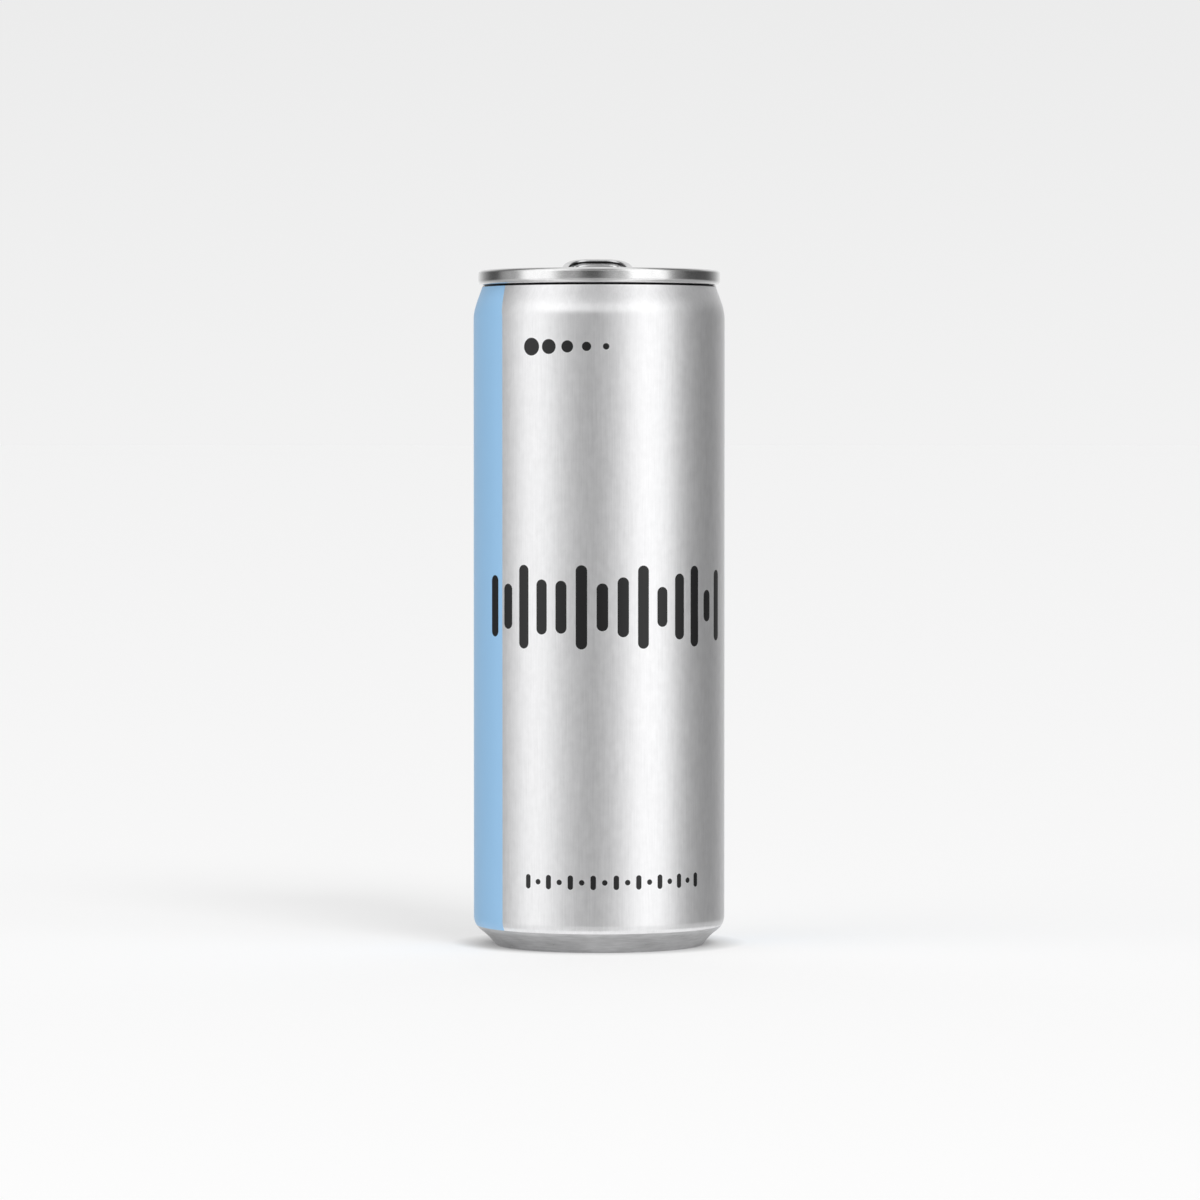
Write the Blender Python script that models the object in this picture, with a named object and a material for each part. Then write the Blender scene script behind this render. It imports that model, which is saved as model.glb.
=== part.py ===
"""A sleek 355 ml drink can, shut, with its pull tab raised a little.

The body is one filled solid, because nothing shows of its inside. The lid is
seamed over the body's neck, and the tab is held to the lid by its rivet.
Units are metres and +Z is up. The origin is the centre of the foot ring, and
the can's front, with the pour opening, is towards -Y.
"""

import math

import bmesh
import bpy
from mathutils import Matrix, Vector

MM = 0.001
SIDES = 56  # sides of every turned piece
GAP = 0.3 * MM  # air left between pieces that touch

# Body: wall, chime and foot
BODY_RADIUS = 28.7 * MM
CHIME_RADIUS = 3.9 * MM
CHIME_TOP_Z = 6.6 * MM
CHIME_SLOPE = math.radians(36.0)  # flank below the chime, from the horizontal
FOOT_SLOPE = math.radians(52.0)  # flank just above the foot's nose
FOOT_OUTER_RADIUS = 23.35 * MM  # outer edge of the flat that the can stands on
FOOT_INNER_RADIUS = 22.75 * MM
NOSE_OUTER_ROUND = 0.6 * MM
NOSE_INNER_ROUND = 0.5 * MM
FLANK_HANDLE = 1.5 * MM
FOOT_WALL_TOP_Z = 2.2 * MM
DOME_EDGE_RADIUS = 21.5 * MM
DOME_EDGE_Z = 3.0 * MM
DOME_TOP_Z = 9.8 * MM

# Body: shoulder and neck
SHOULDER_Z = 143.3 * MM
NECK_Z = 150.7 * MM
NECK_RADIUS = 26.82 * MM

# Lid: double seam
SEAM_RADIUS = 27.69 * MM
SEAM_TOP_Z = 154.3 * MM
SEAM_BOTTOM_Z = 150.8 * MM
SEAM_TOP_ROUND = 0.9 * MM
SEAM_INNER_ROUND = 0.6 * MM
SEAM_BOTTOM_ROUND = 1.1 * MM

# Lid: chuck wall, countersink and panel
SHEET = 0.7 * MM
CHUCK_ANGLE = math.radians(13.0)  # from the vertical
GROOVE_RADIUS = 24.2 * MM  # middle of the countersink groove
GROOVE_CENTRE_Z = 148.0 * MM
GROOVE_ROUND = 0.6 * MM
PANEL_Z = 149.8 * MM
PANEL_ROUND = 0.5 * MM
RECESS_DEPTH = 0.35 * MM
RECESS_FRONT_Y = -7.6 * MM
RECESS_FRONT_RADIUS = 13.6 * MM
RECESS_BACK_Y = 12.4 * MM
RECESS_BACK_RADIUS = 8.6 * MM

# Rivet
RIVET_SHANK_RADIUS = 1.7 * MM
RIVET_HEAD_RADIUS = 2.7 * MM
RIVET_HEAD_HEIGHT = 0.6 * MM
RIVET_EDGE = 0.2 * MM

# Tab, in its own plane: X across, Y towards the finger end
TAB_HALF_WIDTH = 8.4 * MM
TAB_NOSE_Y = -8.8 * MM
TAB_END_Y = 16.5 * MM
TAB_THICKNESS = 1.3 * MM
TAB_BEAD = 1.6 * MM  # width of the curled edge
TAB_FLANGE = 3.1 * MM  # curled edge and the slope inside it
TAB_DISH = 0.55 * MM  # drop from the bead's crown to the web
TAB_TILT = math.radians(15.3)
END_POWER = 3.5
NOSE_POWER = 2.4
TAB_SIDES = 48
FINGER_HOLE_Y = 10.2 * MM
FINGER_HOLE_HALF_WIDTH = 5.1 * MM
FINGER_HOLE_HALF_LENGTH = 3.2 * MM
FINGER_HOLE_POWER = 2.8
SLOT_Y = -0.2 * MM
SLOT_HALF_WIDTH = 4.6 * MM
SLOT_HALF_LENGTH = 4.8 * MM
HOLE_SIDES = 32
TONGUE_RADIUS = 3.7 * MM
TONGUE_THICKNESS = 0.7 * MM
TONGUE_HALF_WIDTH = 2.5 * MM
TONGUE_FRONT_Y = -7.4 * MM
TONGUE_HOLE_RADIUS = 2.05 * MM

RECESS_Z = PANEL_Z - RECESS_DEPTH
TONGUE_Z = RECESS_Z + GAP
RIVET_HEAD_Z = TONGUE_Z + TONGUE_THICKNESS + GAP


def clear_scene():
    for item in list(bpy.data.objects):
        bpy.data.objects.remove(item, do_unlink=True)


def metal(name, colour, roughness):
    material = bpy.data.materials.new(name)
    material.use_nodes = True
    shader = material.node_tree.nodes["Principled BSDF"]
    shader.inputs["Base Color"].default_value = (*colour, 1.0)
    shader.inputs["Metallic"].default_value = 1.0
    shader.inputs["Roughness"].default_value = roughness
    return material


def arc(centre, radius, start, end, steps):
    """Points on an arc in a turned profile; angles in degrees, both ends included."""
    points = []
    for step in range(steps + 1):
        angle = math.radians(start + (end - start) * step / steps)
        points.append((centre[0] + radius * math.cos(angle), centre[1] + radius * math.sin(angle)))
    return points


def bezier(start, start_handle, end_handle, end, steps):
    """Points on a cubic curve, without its two ends."""
    points = []
    for step in range(1, steps):
        t = step / steps
        weights = ((1 - t) ** 3, 3 * t * (1 - t) ** 2, 3 * t * t * (1 - t), t ** 3)
        corners = (start, start_handle, end_handle, end)
        points.append(tuple(sum(w * c[axis] for w, c in zip(weights, corners)) for axis in (0, 1)))
    return points


def new_object(name, shape, material, smooth_angle=35.0):
    bmesh.ops.recalc_face_normals(shape, faces=shape.faces)
    mesh = bpy.data.meshes.new(name)
    shape.to_mesh(mesh)
    shape.free()
    mesh.materials.append(material)
    mesh.shade_smooth()
    mesh.set_sharp_from_angle(angle=math.radians(smooth_angle))
    item = bpy.data.objects.new(name, mesh)
    bpy.context.scene.collection.objects.link(item)
    return item


def turned(name, profile, material, sides=SIDES):
    """A solid turned about Z from a profile that starts and ends on the axis."""
    shape = bmesh.new()
    first_pole = shape.verts.new((0.0, 0.0, profile[0][1]))
    last_pole = shape.verts.new((0.0, 0.0, profile[-1][1]))
    rings = []
    for radius, z in profile[1:-1]:
        angles = [math.tau * side / sides for side in range(sides)]
        rings.append([shape.verts.new((radius * math.cos(a), radius * math.sin(a), z)) for a in angles])
    for side in range(sides):
        following = (side + 1) % sides
        shape.faces.new((first_pole, rings[0][side], rings[0][following]))
        for lower, upper in zip(rings, rings[1:]):
            shape.faces.new((lower[side], upper[side], upper[following], lower[following]))
        shape.faces.new((last_pole, rings[-1][following], rings[-1][side]))
    return new_object(name, shape, material)


def lofted(name, loops, material):
    """A solid through closed loops with equal counts of points, capped at both ends."""
    shape = bmesh.new()
    rings = [[shape.verts.new(point) for point in loop] for loop in loops]
    count = len(rings[0])
    for lower, upper in zip(rings, rings[1:]):
        for side in range(count):
            following = (side + 1) % count
            shape.faces.new((lower[side], lower[following], upper[following], upper[side]))
    shape.faces.new(list(reversed(rings[0])))
    shape.faces.new(rings[-1])
    return new_object(name, shape, material)


def prism(name, outline, bottom, top, material):
    loops = [[(x, y, z) for x, y in outline] for z in (bottom, top)]
    return lofted(name, loops, material)


def as_tool(item):
    item.hide_render = True
    item.display_type = "WIRE"
    return item


def combine(item, tool, operation):
    modifier = item.modifiers.new(f"{operation.lower()} {tool.name}", "BOOLEAN")
    modifier.operation = operation
    modifier.object = as_tool(tool)
    modifier.solver = "EXACT"


def oval(centre_y, half_width, half_length, power, sides):
    """A rounded outline; a higher power makes its corners squarer."""
    points = []
    for side in range(sides):
        angle = math.tau * side / sides
        across = math.copysign(abs(math.cos(angle)) ** (2 / power), math.cos(angle))
        along = math.copysign(abs(math.sin(angle)) ** (2 / power), math.sin(angle))
        points.append((half_width * across, centre_y + half_length * along))
    return points


def teardrop(front_y, front_radius, back_y, back_radius, steps):
    """The outline of a belt round two circles on the Y axis."""
    lean = math.degrees(math.asin((front_radius - back_radius) / (back_y - front_y)))
    back = arc((0.0, back_y), back_radius, lean, 180.0 - lean, steps)
    front = arc((0.0, front_y), front_radius, 180.0 - lean, 360.0 + lean, steps)
    return back + front


def tab_outline(inset):
    """The tab's edge, moved inwards by inset: squarer at the finger end than at the nose."""
    middle = (TAB_END_Y + TAB_NOSE_Y) / 2
    half_width = TAB_HALF_WIDTH - inset
    half_length = (TAB_END_Y - TAB_NOSE_Y) / 2 - inset
    end = oval(middle, half_width, half_length, END_POWER, TAB_SIDES)
    nose = oval(middle, half_width, half_length, NOSE_POWER, TAB_SIDES)
    half = TAB_SIDES // 2
    return end[:half + 1] + nose[half + 1:]


def chuck_radius(z, depth):
    """Radius of the chuck wall's face at height z, depth below its visible side."""
    foot_r = GROOVE_RADIUS + (GROOVE_ROUND + depth) * math.cos(CHUCK_ANGLE)
    foot_z = GROOVE_CENTRE_Z - (GROOVE_ROUND + depth) * math.sin(CHUCK_ANGLE)
    return foot_r + (z - foot_z) * math.tan(CHUCK_ANGLE)


def under_lid(top_z, depth, steps):
    """The lid's form, depth below its visible side, from top_z on the chuck wall to the axis."""
    lean = math.degrees(CHUCK_ANGLE)
    points = [(chuck_radius(top_z, depth), top_z)]
    points += arc((GROOVE_RADIUS, GROOVE_CENTRE_Z), GROOVE_ROUND + depth, -lean, -180.0, steps)
    points.append((GROOVE_RADIUS - GROOVE_ROUND - depth, PANEL_Z - depth))
    points.append((0.0, PANEL_Z - depth))
    return points


def body_profile():
    # Underside: shallow dome, inner wall of the foot ring and the flat it stands on
    rise = DOME_TOP_Z - DOME_EDGE_Z
    dome_radius = (DOME_EDGE_RADIUS ** 2 + rise ** 2) / (2 * rise)
    dome_centre = (0.0, DOME_TOP_Z - dome_radius)
    edge_angle = math.degrees(math.acos(DOME_EDGE_RADIUS / dome_radius))
    points = arc(dome_centre, dome_radius, 90.0, edge_angle, 6)
    points[0] = (0.0, DOME_TOP_Z)
    points.append((FOOT_INNER_RADIUS - NOSE_INNER_ROUND, FOOT_WALL_TOP_Z))
    points += arc((FOOT_INNER_RADIUS, NOSE_INNER_ROUND), NOSE_INNER_ROUND, 180.0, 270.0, 2)

    # Outside of the foot: nose, hollow flank and rounded chime
    lift = 270.0 + math.degrees(FOOT_SLOPE)
    nose = arc((FOOT_OUTER_RADIUS, NOSE_OUTER_ROUND), NOSE_OUTER_ROUND, 270.0, lift, 2)
    chime_centre = (BODY_RADIUS - CHIME_RADIUS, CHIME_TOP_Z)
    chime = arc(chime_centre, CHIME_RADIUS, math.degrees(CHIME_SLOPE) - 90.0, 0.0, 5)
    start_handle = (
        nose[-1][0] + FLANK_HANDLE * math.cos(FOOT_SLOPE),
        nose[-1][1] + FLANK_HANDLE * math.sin(FOOT_SLOPE),
    )
    end_handle = (
        chime[0][0] - FLANK_HANDLE * math.cos(CHIME_SLOPE),
        chime[0][1] - FLANK_HANDLE * math.sin(CHIME_SLOPE),
    )
    points += nose + bezier(nose[-1], start_handle, end_handle, chime[0], 3) + chime

    # Shoulder and neck, up to just under the seam
    steps = 7
    top_z = SEAM_BOTTOM_Z - GAP
    for step in range(steps + 1):
        z = SHOULDER_Z + (top_z - SHOULDER_Z) * step / steps
        t = (z - SHOULDER_Z) / (NECK_Z - SHOULDER_Z)
        ease = t * t * (3 - 2 * t)
        points.append((BODY_RADIUS + (NECK_RADIUS - BODY_RADIUS) * ease, z))
    return points + under_lid(top_z, SHEET + GAP, 5)


def lid_profile():
    lean = math.degrees(CHUCK_ANGLE)
    # Visible side of the panel, countersink and chuck wall
    points = [(0.0, PANEL_Z)]
    panel_edge = GROOVE_RADIUS - GROOVE_ROUND
    points += arc((panel_edge - PANEL_ROUND, PANEL_Z - PANEL_ROUND), PANEL_ROUND, 90.0, 0.0, 2)
    points += arc((GROOVE_RADIUS, GROOVE_CENTRE_Z), GROOVE_ROUND, 180.0, 360.0 - lean, 5)

    # Seam: rounded top, outer wall and tucked lower edge
    inner_z = SEAM_TOP_Z - SEAM_INNER_ROUND
    touch_z = inner_z + SEAM_INNER_ROUND * math.sin(CHUCK_ANGLE)
    inner_r = chuck_radius(touch_z, 0.0) + SEAM_INNER_ROUND * math.cos(CHUCK_ANGLE)
    points += arc((inner_r, inner_z), SEAM_INNER_ROUND, 180.0 - lean, 90.0, 3)
    outer_centre = (SEAM_RADIUS - SEAM_TOP_ROUND, SEAM_TOP_Z - SEAM_TOP_ROUND)
    points += arc(outer_centre, SEAM_TOP_ROUND, 90.0, 0.0, 4)
    lower_centre = (SEAM_RADIUS - SEAM_BOTTOM_ROUND, SEAM_BOTTOM_Z + SEAM_BOTTOM_ROUND)
    points += arc(lower_centre, SEAM_BOTTOM_ROUND, 0.0, -80.0, 4)

    # Hidden side
    return points + under_lid(SEAM_BOTTOM_Z, SHEET, 5)


def make_body(material):
    return turned("can_body", body_profile(), material)


def make_rivet(material):
    head_top = RIVET_HEAD_Z + RIVET_HEAD_HEIGHT
    profile = [
        (0.0, RECESS_Z - SHEET / 4),
        (RIVET_SHANK_RADIUS, RECESS_Z - SHEET / 4),
        (RIVET_SHANK_RADIUS, RIVET_HEAD_Z),
        (RIVET_HEAD_RADIUS - RIVET_EDGE, RIVET_HEAD_Z),
        (RIVET_HEAD_RADIUS, RIVET_HEAD_Z + RIVET_EDGE),
        (RIVET_HEAD_RADIUS - RIVET_EDGE, head_top - RIVET_EDGE / 2),
        (RIVET_HEAD_RADIUS - 3 * RIVET_EDGE, head_top),
        (0.0, head_top),
    ]
    return turned("rivet_tool", profile, material, 24)


def make_lid(material):
    lid = turned("can_end", lid_profile(), material)
    outline = teardrop(RECESS_FRONT_Y, RECESS_FRONT_RADIUS, RECESS_BACK_Y, RECESS_BACK_RADIUS, 14)
    recess = prism("recess_tool", outline, RECESS_Z, PANEL_Z + 2 * RECESS_DEPTH, material)
    combine(lid, recess, "DIFFERENCE")
    combine(lid, make_rivet(material), "UNION")
    return lid


def tab_plate(material):
    """The tab's plate: a curled edge, a slope inside it and a flat web."""
    crown = TAB_BEAD / 2
    sections = (
        (crown * 1.4, 0.0),
        (crown * 0.6, 0.05 * TAB_THICKNESS),
        (0.0, 0.5 * TAB_THICKNESS),
        (crown * 0.35, 0.88 * TAB_THICKNESS),
        (crown, TAB_THICKNESS),
        (crown * 1.65, 0.9 * TAB_THICKNESS),
        (TAB_FLANGE, TAB_THICKNESS - TAB_DISH),
    )
    loops = [[(x, y, z) for x, y in tab_outline(inset)] for inset, z in sections]
    plate = lofted("pull_tab", loops, material)

    cutter_reach = 2 * TAB_THICKNESS
    finger = oval(
        FINGER_HOLE_Y, FINGER_HOLE_HALF_WIDTH, FINGER_HOLE_HALF_LENGTH, FINGER_HOLE_POWER, HOLE_SIDES
    )
    slot = oval(SLOT_Y, SLOT_HALF_WIDTH, SLOT_HALF_LENGTH, 2.0, HOLE_SIDES)
    cutters = [
        prism("finger_tool", finger, -cutter_reach, cutter_reach, material),
        prism("slot_tool", slot, -cutter_reach, cutter_reach, material),
    ]

    # The nose stays on the lid, and the plate is tilted up about it
    pivot = Vector((0.0, TAB_NOSE_Y + crown * 0.8, 0.0))
    lift = Vector((0.0, pivot.y, TONGUE_Z))
    tilt = Matrix.Translation(lift) @ Matrix.Rotation(TAB_TILT, 4, "X") @ Matrix.Translation(-pivot)
    for item in [plate] + cutters:
        item.data.transform(tilt)
    for cutter in cutters:
        combine(plate, cutter, "DIFFERENCE")
    return plate


def make_tab(material):
    tab = tab_plate(material)

    # The tongue lies flat under the rivet's head and joins the plate at the nose
    rear = arc((0.0, 0.0), TONGUE_RADIUS, -40.0, 220.0, 20)
    outline = rear + [(-TONGUE_HALF_WIDTH, TONGUE_FRONT_Y), (TONGUE_HALF_WIDTH, TONGUE_FRONT_Y)]
    top = TONGUE_Z + TONGUE_THICKNESS
    combine(tab, prism("tongue_tool", outline, TONGUE_Z, top, material), "UNION")
    hole = oval(0.0, TONGUE_HOLE_RADIUS, TONGUE_HOLE_RADIUS, 2.0, 20)
    combine(tab, prism("rivet_hole_tool", hole, TONGUE_Z - GAP, top + GAP, material), "DIFFERENCE")
    return tab


def main():
    clear_scene()
    make_body(metal("printed_aluminium", (0.75, 0.76, 0.77), 0.35))
    make_lid(metal("lacquered_aluminium", (0.80, 0.80, 0.80), 0.25))
    make_tab(metal("bare_aluminium", (0.80, 0.80, 0.80), 0.22))


main()
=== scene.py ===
"""A sleek drink can in printed aluminium, with its lid, rivet and raised pull tab."""

import math

import bpy
import numpy as np
from bpy.props import FloatProperty, FloatVectorProperty, IntProperty, PointerProperty
from bpy.types import Operator, Panel, PropertyGroup
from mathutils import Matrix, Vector


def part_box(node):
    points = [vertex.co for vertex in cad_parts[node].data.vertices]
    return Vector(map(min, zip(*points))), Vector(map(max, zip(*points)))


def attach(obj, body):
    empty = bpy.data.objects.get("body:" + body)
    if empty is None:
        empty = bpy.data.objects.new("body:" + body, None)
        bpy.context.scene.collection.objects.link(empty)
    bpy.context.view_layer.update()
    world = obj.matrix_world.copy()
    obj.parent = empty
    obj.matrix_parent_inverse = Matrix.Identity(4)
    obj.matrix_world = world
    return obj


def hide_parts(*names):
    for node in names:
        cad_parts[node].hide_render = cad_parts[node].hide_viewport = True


bl_info = {
    "name": "Drink Can",
    "version": (1, 0, 0),
    "blender": (4, 5, 0),
    "location": "3D View > Sidebar > Drink Can",
    "description": "Makes a sleek drink can with a printed wall, a seamed lid and a pull tab",
    "category": "Add Mesh",
}

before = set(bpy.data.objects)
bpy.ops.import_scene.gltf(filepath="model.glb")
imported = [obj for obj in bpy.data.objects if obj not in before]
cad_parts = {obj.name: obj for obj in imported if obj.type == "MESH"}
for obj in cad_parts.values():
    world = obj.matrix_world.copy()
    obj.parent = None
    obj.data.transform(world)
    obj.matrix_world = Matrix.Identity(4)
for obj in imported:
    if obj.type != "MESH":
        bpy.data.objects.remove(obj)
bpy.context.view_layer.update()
BODY_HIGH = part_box("can_body")[1]
LID_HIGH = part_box("can_end")[1]
TAB_LOW, TAB_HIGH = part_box("pull_tab")

MM = 0.001


# Settings

def srgb(code):
    """A colour written as an sRGB hex code, as linear red, green and blue."""
    channels = [int(code[start:start + 2], 16) / 255 for start in (1, 3, 5)]
    return tuple(c / 12.92 if c <= 0.04045 else ((c + 0.055) / 1.055) ** 2.4 for c in channels)


def length(name, description, default):
    return FloatProperty(
        name=name, description=description, default=default, unit="LENGTH", precision=5, min=0.0
    )


def angle(name, description, degrees):
    return FloatProperty(
        name=name, description=description, default=math.radians(degrees), subtype="ANGLE"
    )


def colour(name, description, code):
    return FloatVectorProperty(
        name=name, description=description, default=srgb(code), subtype="COLOR", min=0.0, max=1.0
    )


class DrinkCanBody(PropertyGroup):
    radius: length("Wall radius", "Outer radius of the straight wall", BODY_HIGH[0])
    shoulder_z: length("Shoulder height", "Where the wall starts to draw in", 143.1 * MM)
    neck_z: length("Neck height", "Where the neck has its full draw, under the seam", 149.33 * MM)
    neck_radius: length("Neck radius", "Outer radius at the neck height", 27.1 * MM)
    chime_radius: length("Chime radius", "Rounding at the foot of the wall", 3.9 * MM)
    chime_z: length("Chime height", "Where the rounding meets the wall", 6.6 * MM)
    foot_outer: length("Foot radius", "Outer edge of the flat that it stands on", 23.35 * MM)
    foot_inner: length("Foot inner radius", "Inner edge of that flat", 22.75 * MM)
    dome_height: length("Dome height", "Depth of the hollow under the can", 9.8 * MM)
    print_edge_z: length("Print edge", "Height where the print stops above the foot", 4.5 * MM)
    sides: IntProperty(name="Sides", description="Faces round the wall", default=288, min=64, max=512)


class DrinkCanPrint(PropertyGroup):
    stripe: colour("Stripe", "Sky-blue ink of the upright stripe", "#9ECDF4")
    ink: colour("Ink", "Black ink of the bars, dots and pills", "#101011")
    silver: colour("Silver", "Varnished aluminium between the inks", "#EFEFF0")
    silver_start: angle("Silver start", "Right edge of the stripe, from the front", -49.6)
    silver_end: angle("Silver end", "Where the next stripe starts, from the front", 87.4)
    bars_start: angle("Bars start", "Left end of the row of bars, from the front", -59.8)
    bars_z: length("Bars height", "Middle of the row of bars", 78.05 * MM)
    bars_half_height: length("Bar reach", "Half the height of the tallest bar", 9.45 * MM)
    dots_z: length("Dots height", "Middle of the row of dots", 136.5 * MM)
    pills_z: length("Pills height", "Middle of the row of small pills", 16.2 * MM)
    small_start: angle("Small rows start", "Left end of the dots and the small pills", -36.4)


class DrinkCanLid(PropertyGroup):
    seam_radius: length("Seam radius", "Outer radius of the double seam", LID_HIGH[0])
    seam_top_z: length("Seam top", "Height of the seam's crown", LID_HIGH[2])
    seam_depth: length("Seam depth", "From the crown to the seam's lower edge", 3.5 * MM)
    panel_depth: length("Panel depth", "From the crown down to the panel", 4.5 * MM)
    groove_radius: length("Groove radius", "Middle of the countersink groove", 24.2 * MM)
    groove_depth: length("Groove depth", "From the crown to the groove's centre", 6.3 * MM)
    chuck_angle: angle("Chuck wall angle", "Lean of the inner wall from the upright", 13.0)
    sheet: length("Sheet", "Thickness of the end stock", 0.25 * MM)
    recess: length("Recess", "Depth of the pressed field round the tab", 0.35 * MM)
    sides: IntProperty(name="Sides", description="Faces round the lid", default=360, min=64, max=512)


class DrinkCanTab(PropertyGroup):
    half_width: length("Half width", "Half the tab's width", TAB_HIGH[0])
    tilt: angle("Tilt", "How far the finger end is raised", 15.3)
    thickness: length("Thickness", "Height of the curled edge", 1.26 * MM)
    bead: length("Curl", "Width of the curled edge", 1.6 * MM)
    turn: angle("Turn", "How far the tab is turned round the rivet", 2.4)
    web_top: length("Web top", "Upper face of the web over the curl's underside", 0.30 * MM)
    web_bottom: length("Web bottom", "Lower face of the web over the curl's underside", 0.02 * MM)
    voxel: length("Voxel", "Cell size of the joined surface", 0.10 * MM)


class DrinkCanStage(PropertyGroup):
    camera_distance: length("Camera distance", "From the can's axis to the camera", 1.336)
    camera_height: length("Camera height", "Height of the camera over the floor", 0.1169)
    camera_pitch: angle("Camera pitch", "How far the camera looks down", 1.6297)
    camera_yaw: angle("Camera yaw", "How far the camera turns to the right", 0.0083)
    lens: FloatProperty(name="Lens", description="Focal length in mm", default=175.1, min=10.0)
    backdrop_high: colour("Backdrop above", "Backdrop at the top of the picture", "#ECECEC")
    backdrop_low: colour("Backdrop at the horizon", "Where the backdrop meets the floor", "#F2F2F2")


# Mesh helpers

def smooth_step(value, low, high):
    """0 below low, 1 above high, and a soft rise between them."""
    t = np.clip((value - low) / (high - low), 0.0, 1.0)
    return t * t * (3.0 - 2.0 * t)


def soft_band(value, rise, fall):
    """1 between two soft edges, each given by where it starts and ends."""
    return smooth_step(value, *rise) * (1.0 - smooth_step(value, *fall))


def ridge(distance, width):
    """A soft line, 1 in its middle; width is where it has fallen to about a third."""
    return np.exp(-((distance / width) ** 2))


def arc(centre, radius, start, end, steps):
    """Points of an arc in a turned profile, in degrees, both ends included."""
    angles = np.radians(np.linspace(start, end, steps + 1))
    return [(centre[0] + radius * math.cos(a), centre[1] + radius * math.sin(a)) for a in angles]


def line(start, end, steps):
    """Points between two profile points, without the first one."""
    ratios = np.linspace(0.0, 1.0, steps + 1)[1:]
    return [tuple(s + (e - s) * t for s, e in zip(start, end)) for t in ratios]


def bezier(start, start_handle, end_handle, end, steps):
    """Points of a cubic curve, without its two ends."""
    points = []
    for t in np.linspace(0.0, 1.0, steps + 1)[1:-1]:
        weights = ((1 - t) ** 3, 3 * t * (1 - t) ** 2, 3 * t * t * (1 - t), t ** 3)
        corners = (start, start_handle, end_handle, end)
        points.append(tuple(sum(w * c[axis] for w, c in zip(weights, corners)) for axis in (0, 1)))
    return points


def mesh_object(name, points, faces):
    """A new object in the scene, with a mesh of these points and faces."""
    mesh = bpy.data.meshes.new(name)
    mesh.from_pydata([tuple(point) for point in points], [], faces)
    item = bpy.data.objects.new(name, mesh)
    bpy.context.scene.collection.objects.link(item)
    return item


def add_piece(name, points, faces, node):
    """A shaded mesh piece that rides on the can and stands for a node of the frame."""
    piece = mesh_object(name, points, faces)
    piece.data.validate()
    piece.data.shade_smooth()
    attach(piece, "root")
    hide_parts(node)
    return piece


def ring_faces(pairs, sides):
    """Four-sided faces between rings of points, for each pair of the rings' numbers."""
    here = np.arange(sides)
    following = np.roll(here, -1)
    faces = []
    for lower, upper in pairs:
        corners = [lower * sides + here, lower * sides + following]
        corners += [upper * sides + following, upper * sides + here]
        faces += np.stack(corners, axis=1).tolist()
    return faces


def turned(profile, sides, relief=None):
    """Points and faces of a solid turned about Z; the profile starts and ends on the axis.

    relief gives a height to add at x and y, one value for each point.
    """
    rings = np.array(profile[1:-1])
    turns = np.arange(sides) * (math.tau / sides)
    x = rings[:, :1] * np.cos(turns)
    y = rings[:, :1] * np.sin(turns)
    z = np.repeat(rings[:, 1:], sides, axis=1)
    poles = np.array([(0.0, 0.0, profile[0][1]), (0.0, 0.0, profile[-1][1])])
    points = np.vstack([np.stack([x, y, z], axis=-1).reshape(-1, 3), poles])
    if relief:
        points[:, 2] += relief(points[:, 0], points[:, 1])

    count = len(rings)
    faces = ring_faces([(ring, ring + 1) for ring in range(count - 1)], sides)
    here = list(range(sides))
    following = here[1:] + here[:1]
    first_pole = count * sides
    last = (count - 1) * sides
    faces += [(first_pole, f, h) for h, f in zip(here, following)]
    faces += [(first_pole + 1, last + h, last + f) for h, f in zip(here, following)]
    return points, faces


def oval(centre_y, half_width, half_length, power, sides, start=0.0, end=360.0):
    """Points of a rounded outline; a higher power makes its corners squarer."""
    turns = np.radians(np.linspace(start, end, sides, endpoint=end - start < 360.0))
    across = np.sign(np.cos(turns)) * np.abs(np.cos(turns)) ** (2 / power)
    along = np.sign(np.sin(turns)) * np.abs(np.sin(turns)) ** (2 / power)
    return np.stack([half_width * across, centre_y + half_length * along], axis=1)


def at_height(outline, z):
    """The points of an outline, all at one height."""
    return np.column_stack([outline, np.full(len(outline), z)])


def lofted(loops, closed=False):
    """Points and faces through loops of points: capped at both ends, or closed on itself."""
    count = len(loops[0])
    last = len(loops) - 1
    pairs = [(ring, ring + 1) for ring in range(last)]
    if closed:
        return np.vstack(loops), ring_faces(pairs + [(last, 0)], count)
    cap = np.arange(count)
    caps = [cap[::-1].tolist(), (cap + last * count).tolist()]
    return np.vstack(loops), ring_faces(pairs, count) + caps


# Material helpers

def set_inputs(tree, node, values):
    """Sets each named input of a node to a value, or links it to a socket."""
    for key, value in values.items():
        if isinstance(value, bpy.types.NodeSocket):
            tree.links.new(value, node.inputs[key])
        else:
            node.inputs[key].default_value = value


def add_node(tree, kind, values=None, **settings):
    """One node, with its settings and with the values or sockets for its inputs."""
    node = tree.nodes.new(kind)
    for key, value in settings.items():
        setattr(node, key, value)
    set_inputs(tree, node, values or {})
    return node


def new_material(name):
    """A material with an empty tree and its shader, joined to the output."""
    material = bpy.data.materials.new(name)
    material.use_nodes = True
    tree = material.node_tree
    tree.nodes.clear()
    shader = add_node(tree, "ShaderNodeBsdfPrincipled")
    add_node(tree, "ShaderNodeOutputMaterial", {"Surface": shader.outputs["BSDF"]})
    return material, tree, shader


def grain(tree, position, across, upright, detail=3.0):
    """Noise stretched to one size across, in X and Y, and to another in Z, both in metres."""
    scale = add_node(
        tree, "ShaderNodeVectorMath", {0: position, 1: [1.0 / across, 1.0 / across, 1.0 / upright]},
        operation="MULTIPLY",
    )
    noise = add_node(
        tree, "ShaderNodeTexNoise",
        {"Vector": scale.outputs[0], "Scale": 1.0, "Detail": detail, "Roughness": 0.6},
    )
    return noise.outputs["Fac"]


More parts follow.
